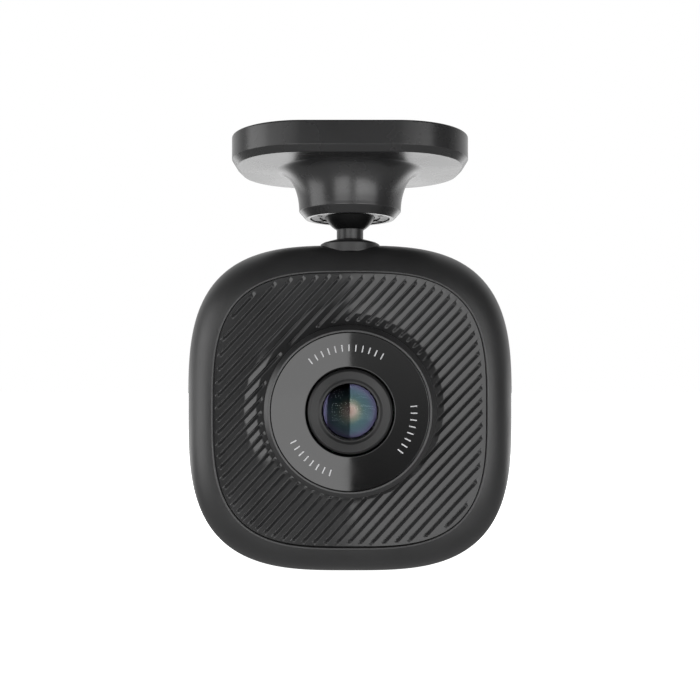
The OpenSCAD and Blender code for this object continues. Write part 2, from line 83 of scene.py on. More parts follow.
def loft(name, rings, through=False, sharp=30):
    """Skin through rings of points; a ring may be one point, which closes the end to a tip."""
    verts, starts, faces = [], [], []
    for ring in rings:
        starts.append(len(verts))
        verts.extend(np.atleast_2d(ring).tolist())
    sizes = [len(np.atleast_2d(ring)) for ring in rings]
    count = len(rings)
    for k in range(count if through else count - 1):
        a, b = k, (k + 1) % count
        n = max(sizes[a], sizes[b])
        for i in range(n):
            j = (i + 1) % n
            quad = [starts[a] + i % sizes[a], starts[a] + j % sizes[a],
                    starts[b] + j % sizes[b], starts[b] + i % sizes[b]]
            faces.append(tuple(dict.fromkeys(quad)))
    if not through:
        for k in (0, count - 1):
            if sizes[k] > 1:
                faces.append(tuple(range(starts[k], starts[k] + sizes[k])))
    return make_object(name, verts, faces, sharp)


def fillet(points, steps=5, closed=False):
    """Round the corners of a polyline; each point is (a, b) or (a, b, radius). A point close beyond each
    end of the curve holds the flat beside it flat."""
    out = []
    n = len(points)
    for k, point in enumerate(points):
        p = np.array(point[:2], float)
        radius = point[2] if len(point) > 2 else 0
        if radius == 0 or (not closed and k in (0, n - 1)):
            out.append(tuple(p))
            continue
        before = np.array(points[k - 1][:2], float) - p
        after = np.array(points[(k + 1) % n][:2], float) - p
        len_before, len_after = np.linalg.norm(before), np.linalg.norm(after)
        before, after = before / len_before, after / len_after
        half = math.acos(max(-1, min(1, before @ after))) / 2
        back = min(radius / math.tan(half), 0.49 * len_before, 0.49 * len_after)
        radius = back * math.tan(half)
        middle = (before + after) / np.linalg.norm(before + after)
        centre = p + middle * radius / math.sin(half)
        start, end = p + before * back - centre, p + after * back - centre
        turn = math.atan2(start[0] * end[1] - start[1] * end[0], start @ end)
        hold = 0.15 * radius + 0.02
        if len_before > 2.2 * back + 4 * hold:
            out.append(tuple(p + before * (back + hold)))
        for s in range(steps + 1):
            t = turn * s / steps
            out.append((centre[0] + start[0] * math.cos(t) - start[1] * math.sin(t),
                        centre[1] + start[0] * math.sin(t) + start[1] * math.cos(t)))
        if len_after > 2.2 * back + 4 * hold:
            out.append(tuple(p + after * (back + hold)))
    return out


def circle_z(r, z, n=RING_POINTS):
    """Ring about the stem axis."""
    if r < 1e-6:
        return np.array([[0, 0, z]])
    t = np.arange(n) * 2 * math.pi / n
    return np.stack([r * np.cos(t), r * np.sin(t), np.full(n, z)], 1)


def circle_y(r, forward, x=0.0, z=0.0, n=RING_POINTS):
    """Ring about the lens axis or a line parallel to it, forward millimetres in front of the stem axis."""
    if r < 1e-6:
        return np.array([[x, -forward, AXIS_Z + z]])
    t = np.arange(n) * 2 * math.pi / n
    return np.stack([x + r * np.cos(t), np.full(n, -forward), AXIS_Z + z + r * np.sin(t)], 1)


def turn_z(name, profile, closed=False, n=RING_POINTS, sharp=30):
    return loft(name, [circle_z(r, z, n) for r, z in fillet(profile, closed=closed)], closed, sharp)


def turn_y(name, profile, closed=False, x=0.0, z=0.0, n=RING_POINTS, sharp=30):
    rings = [circle_y(r, f, x, z, n) for r, f in fillet(profile, closed=closed)]
    return loft(name, rings, closed, sharp)


def round_rect(half_x, half_y, corner):
    """Distance from the centre of a round-cornered rectangle to its edge, along each of ANGLES."""
    c, s = np.abs(COS), np.abs(SIN)
    cx, cy = half_x - corner, half_y - corner
    with np.errstate(divide="ignore"):
        flat_x, flat_y = half_x / c, half_y / s
    along = c * cx + s * cy
    curved = along + np.sqrt(np.maximum(along ** 2 - cx ** 2 - cy ** 2 + corner ** 2, 0))
    return np.where(flat_x * s <= cy, flat_x, np.where(flat_y * c <= cx, flat_y, curved))


def rect_z(half_x, half_y, corner, z):
    r = round_rect(half_x, half_y, corner)
    return np.stack([r * COS, r * SIN, np.full(RING_POINTS, z)], 1)


SQUIRCLE = (np.abs(COS) ** BODY_POWER + np.abs(SIN) ** BODY_POWER) ** (-1 / BODY_POWER)


def body_ring(y, inset):
    return np.stack([(BODY_W / 2 - inset) * SQUIRCLE * COS, np.full(RING_POINTS, y),
                     AXIS_Z + (BODY_H / 2 - inset) * SQUIRCLE * SIN], 1)


def shrink(t, power, reach):
    return reach * (1 - (1 - min(t, 1) ** power) ** (1 / power))


FRONT_DEPTH, FRONT_POWER, REAR_POWER, REAR_INSET = 9.5, 2.5, 3, 12.4
REAR_DEPTH = BACK_Y - WIDEST_Y + 0.5
FRONT_REACH = (BODY_W / 2 - RECESS_HALF - 0.3) / shrink((WIDEST_Y - LIP_Y) / FRONT_DEPTH, FRONT_POWER, 1)


def inset_at(y):
    """How far the body's outline has drawn in at depth y."""
    if y < WIDEST_Y:
        return shrink((WIDEST_Y - y) / FRONT_DEPTH, FRONT_POWER, FRONT_REACH)
    return shrink((y - WIDEST_Y) / REAR_DEPTH, REAR_POWER, REAR_INSET)


def joined(name, objects):
    """One object from several; the parts are used up."""
    mesh = bpy.data.meshes.new(name)
    bm = bmesh.new()
    for obj in objects:
        bm.from_mesh(obj.data)
        bpy.data.objects.remove(obj)
    bm.to_mesh(mesh)
    bm.free()
    tidy_mesh(mesh)
    obj = bpy.data.objects.new(name, mesh)
    bpy.context.scene.collection.objects.link(obj)
    return obj


def settle(obj, sharp=30):
    """Apply the object's modifiers to its mesh."""
    graph = bpy.context.evaluated_depsgraph_get()
    mesh = bpy.data.meshes.new_from_object(obj.evaluated_get(graph))
    mesh.name = obj.name
    obj.modifiers.clear()
    obj.data = mesh
    tidy_mesh(mesh, sharp)


def carve(obj, cutters, sharp=30):
    tool = joined(obj.name + "_tool", cutters)
    step = obj.modifiers.new("carve", "BOOLEAN")
    step.object, step.operation, step.solver = tool, "DIFFERENCE", "EXACT"
    settle(obj, sharp)
    bpy.data.objects.remove(tool)


def box_mesh(name, x0, x1, y0, y1, z0, z1):
    """Box by its corners, z from the lens axis."""
    verts = [(x, y, AXIS_Z + z) for x in (x0, x1) for y in (y0, y1) for z in (z0, z1)]
    faces = [(0, 1, 3, 2), (4, 6, 7, 5), (0, 4, 5, 1), (2, 3, 7, 6), (0, 2, 6, 4), (1, 5, 7, 3)]
    return make_object(name, verts, faces)


# ============================ materials ============================

class Shader:
    """A material's node tree with short ways to add nodes and links."""

    def __init__(self, name):
        self.material = bpy.data.materials.new(name)
        self.material.use_nodes = True
        self.tree = self.material.node_tree
        self.bsdf = next(n for n in self.tree.nodes if n.type == "BSDF_PRINCIPLED")
        self.coords = self.add("ShaderNodeTexCoord").outputs["Object"]

    def add(self, kind, inputs=None, **settings):
        node = self.tree.nodes.new(kind)
        for key, value in settings.items():
            setattr(node, key, value)
        for key, value in (inputs or {}).items():
            if isinstance(value, bpy.types.NodeSocket):
                self.tree.links.new(value, node.inputs[key])
            else:
                node.inputs[key].default_value = value
        return node

    def put(self, **sockets):
        """Set or link the shader's own sockets; underscores stand for spaces."""
        for key, value in sockets.items():
            socket = self.bsdf.inputs[key.replace("_", " ")]
            if isinstance(value, bpy.types.NodeSocket):
                self.tree.links.new(value, socket)
            else:
                socket.default_value = value

    def noise(self, size, detail=3.0, rough=0.55, stretch=(1, 1, 1)):
        """Noise whose lumps are about size millimetres across."""
        mapping = self.add("ShaderNodeMapping", {"Vector": self.coords, "Scale": stretch})
        return self.add("ShaderNodeTexNoise", {
            "Vector": mapping.outputs["Vector"], "Scale": 1 / (size * MM),
            "Detail": detail, "Roughness": rough,
        }).outputs["Fac"]

    def ramp(self, value, low, high, out_low=0.0, out_high=1.0):
        return self.add("ShaderNodeMapRange", {
            "Value": value, "From Min": low, "From Max": high, "To Min": out_low, "To Max": out_high,
        }).outputs["Result"]

    def blend(self, share, first, second):
        node = self.add("ShaderNodeMix", data_type="RGBA")
        self.tree.links.new(share, node.inputs["Factor"])
        for socket, value in ((node.inputs[6], first), (node.inputs[7], second)):
            if isinstance(value, bpy.types.NodeSocket):
                self.tree.links.new(value, socket)
            else:
                socket.default_value = (*value, 1)
        return node.outputs[2]

    def bump(self, height, depth, strength=1.0):
        """Relief depth millimetres deep."""
        return self.add("ShaderNodeBump", {
            "Height": height, "Distance": depth * MM, "Strength": strength,
        }).outputs["Normal"]


def grey(v):
    return (v, v, v * 1.02)


def scaled(colour, k):
    return tuple(c * k for c in colour)


def moulded(name, colour, rough, grain=0.16, relief=0.004, patch=7.0, change=0.16, rough_change=0.05,
            specular=0.5):
    """Moulded plastic: spark-eroded grain, faint flow patches and handling marks."""
    s = Shader(name)
    fine, broad = s.noise(grain, 2.0), s.noise(patch, 4.0)
    colour_share = s.ramp(broad, 0.3, 0.7)
    s.put(
        Base_Color=s.blend(colour_share, scaled(colour, 1 - change), scaled(colour, 1 + change)),
        Roughness=s.ramp(broad, 0.35, 0.65, rough - rough_change, rough + rough_change),
        Normal=s.bump(fine, relief),
        Specular_IOR_Level=specular,
    )
    return s.material


def metal(name, colour, rough, grain=0.3, stretch=(1, 1, 1), relief=0.002):
    """Plated or machined metal with fine tool marks."""
    s = Shader(name)
    marks, broad = s.noise(grain, 3.0, stretch=stretch), s.noise(5.0, 3.0)
    s.put(
        Base_Color=s.blend(s.ramp(broad, 0.3, 0.7), scaled(colour, 0.86), colour),
        Roughness=s.ramp(marks, 0.3, 0.7, rough * 0.75, rough * 1.3),
        Normal=s.bump(marks, relief),
        Metallic=1.0,
    )
    return s.material


def glass(name, tint, rough=0.0, ior=1.08):
    """Optical glass with an anti-reflection coating and the faintest dust."""
    s = Shader(name)
    dust = s.noise(0.5, 4.0, 0.7)
    s.put(
        Base_Color=s.blend(s.ramp(dust, 0.3, 0.8), tint, scaled(tint, 0.93)),
        Roughness=s.ramp(dust, 0.4, 0.8, rough, rough + 0.006),
        Transmission_Weight=1.0,
        IOR=ior,
    )
    return s.material


def tinted_reflection_dish(name):
    """A hollow lens face whose colour ramp paints the coating's reflection tints by radius rather than by
    angle: a brighter warm centre is a painted highlight, then teal, then violet at the rim.
    """
    s = Shader(name)
    flat = s.add("ShaderNodeVectorMath", {0: s.coords, 1: (1, 0, 1)}, operation="MULTIPLY").outputs[0]
    from_axis = s.add("ShaderNodeVectorMath", {0: flat, 1: (0, 0, AXIS_Z * MM)}, operation="DISTANCE")
    ramp = s.add("ShaderNodeValToRGB", {"Fac": s.ramp(from_axis.outputs["Value"], 0, DISH_R * MM)})
    # painted highlight: the brighter warm stops at the middle stand in for a highlight; the teal and violet
    # stops paint coating reflection tints by radius
    stops = [(0.0, (0.10, 0.062, 0.052)), (0.20, (0.125, 0.10, 0.085)), (0.34, (0.055, 0.060, 0.045)),
             (0.52, (0.019, 0.036, 0.036)), (0.78, (0.020, 0.032, 0.040)), (0.90, (0.028, 0.028, 0.045)),
             (1.0, (0.012, 0.010, 0.020))]
    ramp.color_ramp.elements.remove(ramp.color_ramp.elements[1])
    ramp.color_ramp.elements[0].color = (*stops[0][1], 1)
    for at, colour in stops[1:]:
        ramp.color_ramp.elements.new(at).color = (*colour, 1)
    s.put(
        Base_Color=ramp.outputs["Color"],
        Metallic=1.0,
        Roughness=s.ramp(s.noise(1.5), 0.3, 0.7, 0.03, 0.06),
    )
    return s.material


def circuit_board(name):
    """Solder mask over copper tracks, with pads and vias."""
    s = Shader(name)
    turned = s.add("ShaderNodeMapping", {"Vector": s.coords, "Rotation": (math.pi / 2, 0, 0)})
    tracks = s.add("ShaderNodeTexBrick", {
        "Vector": turned.outputs["Vector"], "Scale": 1 / (1.4 * MM), "Mortar Size": 0.09,
        "Brick Width": 3.4, "Row Height": 0.55,
    }, offset=0.37).outputs["Fac"]
    pads = s.add("ShaderNodeTexVoronoi", {"Vector": s.coords, "Scale": 1 / (1.1 * MM)}).outputs["Distance"]
    mask = s.blend(tracks, (0.012, 0.075, 0.035), (0.03, 0.14, 0.06))
    s.put(
        Base_Color=s.blend(s.ramp(pads, 0.12, 0.08), mask, (0.62, 0.55, 0.36)),
        Roughness=s.ramp(pads, 0.1, 0.3, 0.45, 0.28),
        Normal=s.bump(tracks, 0.03),
    )
    return s.material


def chip(name):
    s = Shader(name)
    fine, broad = s.noise(0.08, 2.0), s.noise(2.5, 3.0)
    s.put(
        Base_Color=s.blend(s.ramp(broad, 0.3, 0.7), (0.012, 0.012, 0.013), (0.026, 0.026, 0.028)),
        Roughness=s.ramp(broad, 0.3, 0.7, 0.5, 0.68),
        Normal=s.bump(fine, 0.006),
    )
    return s.material


def foam(name, colour):
    """Closed-cell foam tape."""
    s = Shader(name)
    cells = s.add("ShaderNodeTexVoronoi", {"Vector": s.coords, "Scale": 1 / (0.28 * MM)}).outputs["Distance"]
    s.put(
        Base_Color=s.blend(s.ramp(cells, 0.1, 0.6), scaled(colour, 0.6), scaled(colour, 1.3)),
        Roughness=s.ramp(cells, 0.1, 0.6, 0.95, 0.75),
        Normal=s.bump(cells, 0.05),
    )
    return s.material


HOUSING = moulded("housing_plastic", grey(0.016), 0.40, change=0.10, rough_change=0.03)
MOUNT = moulded("mount_plastic", grey(0.020), 0.27, grain=0.2, relief=0.002, change=0.05, rough_change=0.012)
FASCIA = moulded("fascia_plastic", grey(0.022), 0.06, relief=0.0003, rough_change=0.012, specular=0.32)
TRIM = moulded("trim_plastic", grey(0.017), 0.32, relief=0.002)
GLOSS = moulded("gloss_black", grey(0.004), 0.045, grain=0.8, relief=0.0002, rough_change=0.015)
SOCKET = moulded("socket_plastic", grey(0.005), 0.32, relief=0.002, specular=0.09)
STUD = moulded("stud_plastic", grey(0.020), 0.38, relief=0.003, specular=0.35)
RUBBER = moulded("rubber", grey(0.014), 0.7, grain=0.1, relief=0.008)
PRINT = moulded("print_ink", grey(0.45), 0.5, grain=0.1, relief=0.002)
CLEAR = moulded("clear_plastic", (0.7, 0.75, 0.82), 0.2)
CONNECTOR = moulded("connector_plastic", (0.62, 0.6, 0.52), 0.45)
SLEEVE = moulded("capacitor_sleeve", (0.02, 0.035, 0.11), 0.3)
THERMAL = moulded("thermal_gel", (0.24, 0.28, 0.33), 0.6, grain=0.3, relief=0.03)
LED = moulded("led_epoxy", (0.75, 0.7, 0.42), 0.25)
STEEL = metal("steel", (0.62, 0.62, 0.64), 0.3)
ALUMINIUM = metal("aluminium", (0.78, 0.79, 0.8), 0.35, stretch=(1, 1, 14))
BRASS = metal("brass_can", (0.72, 0.6, 0.36), 0.3)
LENS_METAL = moulded("lens_metal", grey(0.014), 0.36, grain=0.1, relief=0.002, specular=0.26)
BAFFLE = moulded("baffle_black", grey(0.006), 0.5)
BOARD = circuit_board("circuit_board")
CHIP = chip("chip_package")
TAPE = foam("foam_tape", grey(0.03))
FRONT_GLASS = glass("coated_glass", (0.96, 0.98, 1.0))
INNER_GLASS = glass("inner_glass", (0.78, 0.92, 0.94))
FILTER = glass("filter_glass", (0.75, 0.4, 0.5))
# lens coating colours with a painted highlight at the centre
COATING_WITH_PAINTED_HIGHLIGHT = tinted_reflection_dish("lens_coating_painted_highlight")


def finish_piece(obj, material, body, slot, *nodes):
    """Give a piece its material and body, and hide the CAD nodes that it stands for; the record slot is not
    used.
    """
    obj.data.materials.clear()
    obj.data.materials.append(material)
    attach(obj, body)
    if nodes:
        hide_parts(*nodes)
    return obj


# ============================ mount ============================

PLATE_X, PLATE_Y, PLATE_CORNER = 21.2, 17.1, 13.3
PLATE_TOP, PLATE_WALL_END, PLATE_UNDER = -0.5, -4.56, -5.61
PLATE_CHAMFER, PLATE_RIM = 1.05, 2.4
PAD_TOP, PAD_BOTTOM, PAD_INSET, PAD_FIT = 0.0, -1.1, 3.0, 0.2
NECK_R, COLLAR_TOP, COLLAR_END, COLLAR_TIP_R, BORE_R = 9.4, -13.06, -14.41, 8.2, 7.35
BORE_TOP = -5.3
FLARE_REACH, FLARE_STEPS = 4.18, 18


def plate_ring(inset, z):
    return rect_z(PLATE_X - inset, PLATE_Y - inset, PLATE_CORNER - inset, z)


plate_edge = fillet([
    (PAD_INSET - PAD_FIT, PAD_BOTTOM), (PAD_INSET - PAD_FIT, PLATE_TOP, 0.12), (0.0, PLATE_TOP, 0.3),
    (0.0, PLATE_WALL_END, 0.12), (PLATE_CHAMFER, PLATE_UNDER, 0.25), (PLATE_RIM, PLATE_UNDER),
], steps=7)
flare = []
for step in range(FLARE_STEPS + 1):
    u = math.cos(math.radians(90 * step / FLARE_STEPS))
    flare.append((NECK_R + FLARE_REACH * (1 - math.sqrt(1 - u * u)),
                  COLLAR_TOP + (PLATE_UNDER - COLLAR_TOP) * u))
collar = fillet([
    (NECK_R, COLLAR_TOP + 0.5), (NECK_R, COLLAR_TOP, 0.3), (COLLAR_TIP_R, COLLAR_END, 0.18),
    (BORE_R, COLLAR_END, 0.12), (BORE_R, BORE_TOP),
])
mount_plate = loft("mount_plate_shell", [plate_ring(i, z) for i, z in plate_edge]
                   + [circle_z(r, z) for r, z in flare[:-1]] + [circle_z(r, z) for r, z in collar])
finish_piece(mount_plate, MOUNT, "mount", "mount_plastic", "mount_plate")

pad_edge = fillet([(PAD_INSET + 1.0, PAD_BOTTOM + 0.02), (PAD_INSET, PAD_BOTTOM + 0.02, 0.1),
                   (PAD_INSET, PAD_TOP, 0.22), (PAD_INSET + 1.0, PAD_TOP)])
pad = loft("adhesive_foam", [plate_ring(i, z) for i, z in pad_edge])
finish_piece(pad, TAPE, "mount", "foam_tape", "adhesive_pad")

CUP_R, CUP_IN, CUP_BOTTOM, CUP_TOP = 7.3, 5.95, -14.25, -5.35
PETALS, SLOT_W, SLOT_IN_R, SLOT_OUT_R, SLOT_TALL = 6, 0.8, 3.0, 9.0, 4.1
ARC_STEPS = 16
mouth_drop = math.sqrt(CUP_IN ** 2 - (BALL_Z - CUP_BOTTOM) ** 2)
cup_profile = [(0.0, CUP_TOP), (CUP_R, CUP_TOP, 0.3), (CUP_R, CUP_BOTTOM, 0.35),
               (mouth_drop + 0.1, CUP_BOTTOM, 0.2)]
lowest = math.asin((CUP_BOTTOM - BALL_Z) / CUP_IN) + 0.03
for step in range(ARC_STEPS + 1):
    angle = lowest + (math.pi / 2 - lowest) * step / ARC_STEPS
    cup_profile.append((max(CUP_IN * math.cos(angle), 0), BALL_Z + CUP_IN * math.sin(angle)))
cup_profile[-1] = (0.0, BALL_Z + CUP_IN)
cup = turn_z("ball_cup", cup_profile, n=180)
slots = []
for k in range(PETALS):
    blade = box_mesh("blade", SLOT_IN_R, SLOT_OUT_R, -SLOT_W / 2, SLOT_W / 2,
                     CUP_BOTTOM - 1 - AXIS_Z, CUP_BOTTOM + SLOT_TALL - AXIS_Z)
    turn = (k + 0.5) * 2 * math.pi / PETALS
    for v in blade.data.vertices:
        x, y = v.co.x, v.co.y
        v.co.x, v.co.y = x * math.cos(turn) - y * math.sin(turn), x * math.sin(turn) + y * math.cos(turn)
    slots.append(blade)
carve(cup, slots)
finish_piece(cup, SOCKET, "mount", "socket_plastic", "socket_cup")

LINER_IN, LINER_OUT, LINER_LIP = 5.05, 5.83, 2.0


def sphere_arc(r, z_from, z_to, steps=20):
    """Profile of a ball centred on the joint, between two heights from its centre."""
    a, b = math.asin(max(-1, min(1, z_from / r))), math.asin(max(-1, min(1, z_to / r)))
    return [(r * math.cos(a + (b - a) * k / steps), BALL_Z + r * math.sin(a + (b - a) * k / steps))
            for k in range(steps + 1)]


liner_out = sphere_arc(LINER_OUT, -LINER_LIP, LINER_OUT)
liner_in = sphere_arc(LINER_IN, LINER_IN, -LINER_LIP)
liner_out[-1] = (0.0, BALL_Z + LINER_OUT)
liner_in[0] = (0.0, BALL_Z + LINER_IN)
liner_profile = liner_in[1:] + liner_out[:-1]
liner_rings = [circle_z(0, BALL_Z + LINER_IN, 180)] + [circle_z(r, z, 180) for r, z in liner_profile]
liner_rings.append(circle_z(0, BALL_Z + LINER_OUT, 180))
liner = loft("ball_liner_shell", liner_rings)
finish_piece(liner, SOCKET, "liner", "socket_plastic", "ball_liner")

CLIP_TOP, STEM_END, GROOVE_R = -23.65, -25.05, 1.9
neck_drop = math.sqrt(BALL_R ** 2 - (STEM_R + 0.12) ** 2)
stud_profile = sphere_arc(BALL_R, BALL_R, -neck_drop, 28)
stud_profile[0] = (0.0, BALL_Z + BALL_R)
stud_tail = fillet([
    (STEM_R + 0.04, BALL_Z - neck_drop - 0.05), (STEM_R, BALL_Z - neck_drop - 0.16),
    (STEM_R, CLIP_TOP + 0.04), (GROOVE_R, CLIP_TOP + 0.02), (GROOVE_R, CLIP_TOP - 0.54),
    (STEM_R, CLIP_TOP - 0.56), (STEM_R, STEM_END, 0.3), (0.0, STEM_END),
])
stud = loft("ball_and_stem", [circle_z(r, z, 180) for r, z in stud_profile + stud_tail])
finish_piece(stud, STUD, "stud", "stud_plastic", "ball_stud")
# the ball takes the darker, less glossy socket plastic; the stem keeps the stud plastic
stud.data.materials.append(SOCKET)
for face in stud.data.polygons:
    if face.center.z > (BALL_Z - neck_drop) * MM:
        face.material_index = 1

SEAT_Z, COLLAR_R = BODY_TOP - 1.55, 5.45
BODY_BORE_LOW, BODY_BORE_HIGH = -26, -17
stem_collar = turn_z("stem_seat", [
    (STEM_R + FIT, SEAT_Z), (COLLAR_R, SEAT_Z), (COLLAR_R, BODY_TOP + 0.1, 0.12),
    (COLLAR_R - 0.55, BODY_TOP + 0.42, 0.3), (STEM_R + 0.5, BODY_TOP + 0.98, 0.2),
    (STEM_R + FIT, BODY_TOP + 1.05),
], closed=True, n=180)
finish_piece(stem_collar, HOUSING, "camera", "housing_plastic", "stem_collar")

# ============================ body ============================

FRONT_STEPS = 34
outer_ys = list(np.linspace(PART_Y, WIDEST_Y, 9)) + [
    WIDEST_Y + (LIP_Y - WIDEST_Y) * math.sin(math.radians(90 * k / FRONT_STEPS))
    for k in range(1, FRONT_STEPS)]
bezel = [(PART_Y, inset_at(PART_Y) + SEAM_BREAK)] + [(y, inset_at(y)) for y in outer_ys[1:]]
bezel[1:1] = [(PART_Y - SEAM_BREAK, inset_at(PART_Y - SEAM_BREAK))]
recess_inset = BODY_W / 2 - RECESS_HALF
rim = fillet([
    (LIP_Y + 0.06, inset_at(LIP_Y + 0.06)), (LIP_Y, inset_at(LIP_Y), 0.2), (LIP_Y, recess_inset, 0.16),
    (LEDGE_Y, recess_inset), (LEDGE_Y, inset_at(LEDGE_Y) + WALL),
], steps=4)
inside = [(y, inset_at(y) + WALL) for y in (-4.5, -3, -1, 1, 4, PART_Y)]
front = loft("bezel_shell", [body_ring(y, d) for y, d in bezel + rim + inside], through=True)
BODY_BORE_R = COLLAR_R + 0.06
carve(front, [turn_z("bore", [(0.0, BODY_BORE_LOW), (BODY_BORE_R, BODY_BORE_LOW),
                              (BODY_BORE_R, BODY_BORE_HIGH), (0.0, BODY_BORE_HIGH)], n=180)])
finish_piece(front, HOUSING, "camera", "housing_plastic", "front_housing")

SHELL_BACK = BACK_Y - WALL
BACK_TURN_Y, BACK_STEPS, INNER_TURN_Y = 12, 20, 12.9
back_ys = [PART_Y + SEAM + SEAM_BREAK] + list(np.linspace(8, BACK_TURN_Y, 8)) + [
    BACK_TURN_Y + (BACK_Y - BACK_TURN_Y) * math.sin(math.radians(90 * k / BACK_STEPS))
    for k in range(1, BACK_STEPS)]
back_shell = [(y, inset_at(min(y, INNER_TURN_Y)) + WALL)
              for y in (SHELL_BACK, 13.3, 12.5, 11, 9, PART_Y + SEAM)]
back_shell += [(PART_Y + SEAM, inset_at(PART_Y + SEAM) + SEAM_BREAK)] + [(y, inset_at(y)) for y in back_ys]
last = inset_at(BACK_Y)
back_shell += [(BACK_Y - 0.03, last - 0.1)] + [(BACK_Y, last + inward) for inward in (0.25, 0.9, 1.6)]
rear = loft("rear_shell", [body_ring(y, d) for y, d in back_shell])

BUTTON_R, BUTTON_FIT, POST = 5.0, 0.25, 16.5
CUT_FROM, PIPE_HOLE_R, SCREW_HOLE_R, SCREW_HOLE_Y = SHELL_BACK - 1, 1.05, 2.0, 11.5
SPEAKER_Z, LED_Z, MIC_X, MIC_Z, HOLE_R, HOLE_PITCH = 18.5, -11.5, 12.0, -11.7, 0.6, 2.4


def hole(r, depth_y, x=0.0, z=0.0, flare_by=0.2, n=64):
    """Cutter for a round hole through the back with a broken edge."""
    return turn_y("hole", [(0.0, -depth_y), (r, -depth_y), (r, -(BACK_Y - flare_by)),
                           (r + flare_by + 0.5, -(BACK_Y + 0.5)), (0.0, -(BACK_Y + 0.5))], x=x, z=z, n=n)


cutters = [hole(BUTTON_R + BUTTON_FIT, CUT_FROM, n=128), hole(PIPE_HOLE_R, CUT_FROM, 0, LED_Z, 0.15),
           hole(HOLE_R, CUT_FROM, MIC_X, MIC_Z, 0.12)]
cutters += [hole(HOLE_R, CUT_FROM, i * HOLE_PITCH, SPEAKER_Z + j * HOLE_PITCH, 0.12, 32)
            for i in range(-2, 3) for j in range(-1, 2)]
cutters += [hole(SCREW_HOLE_R, SCREW_HOLE_Y, sx * POST, sz * POST, 0.25) for sx in (-1, 1) for sz in (-1, 1)]
CARD_Z, CARD_HALF, BOARD_Y = -2.0, 5.5, 10.0
USB_Z, USB_HALF, USB_T = 2.0, 4.0, 2.6
cutters.append(box_mesh("card_way", 20, 34, BOARD_Y - 1.45, BOARD_Y - 0.15,
                        CARD_Z - CARD_HALF - 0.2, CARD_Z + CARD_HALF + 0.2))
cutters.append(box_mesh("usb_way", -34, -20, BOARD_Y - USB_T - 0.2, BOARD_Y + 0.2,
                        USB_Z - USB_HALF - 0.5, USB_Z + USB_HALF + 0.5))
carve(rear, cutters)
finish_piece(rear, HOUSING, "camera", "housing_plastic", "rear_housing")

# ---- ribbed panel: slanting grooves that stop short of both its edges
GROOVE_TURN, GROOVE_PITCH, GROOVE_PAIRS = math.radians(47), 1.511, 18
GROOVE_DEPTH, GROOVE_IN_R, GROOVE_OUT = 0.30, 15.9, 23.45
PANEL_IN_R, PANEL_OUT = 15.1, RECESS_HALF - 0.04
GROOVE_SHAPE = [(-0.42, 0.0), (-0.37, 0.0), (-0.33, 0.06), (-0.14, 0.42), (0.05, 0.80), (0.14, 0.98),
                (0.19, 1.0), (0.24, 0.96), (0.30, 0.12), (0.33, 0.0), (0.38, 0.0)]
GROOVE_RUNOUT, SHORTEST_GROOVE = 0.4, 1.2
SPAN_REACH, SPAN_POINTS = 30, 6001
ROW_STEP, ROW_COUNT = 0.42, 68
PANEL_T, PANEL_WELD = 1.3, 0.004
CREASE_R, CREASE_FORWARD, CONE_SLOPE, DIP_SLOPE, CREASE_SOFT = 19.1, 6.26, 0.15, 0.22, 0.08


def funnel(r):
    """How far forward the panel's face stands at radius r: a cone that dips faster inside the crease."""
    past = r - CREASE_R
    return CREASE_FORWARD + CONE_SLOPE * past - (DIP_SLOPE - CONE_SLOPE) * CREASE_SOFT * np.logaddexp(
        0, -past / CREASE_SOFT)


def squircle_level(x, z, half):
    """Below 1 inside the body's outline drawn at that half width."""
    tall = half * BODY_H / BODY_W
    return (np.abs(x / half) ** BODY_POWER + np.abs(z / tall) ** BODY_POWER) ** (1 / BODY_POWER)


def turned(u, v):
    """Place, from the lens axis, of a point u along the grooves and v across them."""
    c, s = math.cos(GROOVE_TURN), math.sin(GROOVE_TURN)
    return u * c - v * s, u * s + v * c


def groove_spans(v):
    """Stretches of the line at distance v from the lens axis that lie in the grooved zone."""
    u = np.linspace(-SPAN_REACH, SPAN_REACH, SPAN_POINTS)
    x, z = turned(u, v)
    ok = (squircle_level(x, z, GROOVE_OUT) < 1) & (np.hypot(x, z) > GROOVE_IN_R)
    edges = np.flatnonzero(np.diff(ok.astype(int)))
    return [(u[a], u[b]) for a, b in zip(edges[::2], edges[1::2]) if u[b] - u[a] > SHORTEST_GROOVE]


columns = []                      # (distance v, groove centre or None, share of depth)
for k in range(-GROOVE_PAIRS, GROOVE_PAIRS):
    centre = (k + 0.5) * GROOVE_PITCH
    columns.append((centre - GROOVE_PITCH / 2, None, 0.0))
    columns += [(centre + dv, centre, share) for dv, share in GROOVE_SHAPE]
columns.append((GROOVE_PAIRS * GROOVE_PITCH, None, 0.0))
margin = [0.6, 1.2, 1.8]
columns = [(-GROOVE_PAIRS * GROOVE_PITCH - m, None, 0.0) for m in reversed(margin)] + columns
columns += [(GROOVE_PAIRS * GROOVE_PITCH + m, None, 0.0) for m in margin]
rows = np.arange(-ROW_COUNT, ROW_COUNT + 1) * ROW_STEP
spans = {c: groove_spans(c) for c in {col[1] for col in columns} if c is not None}

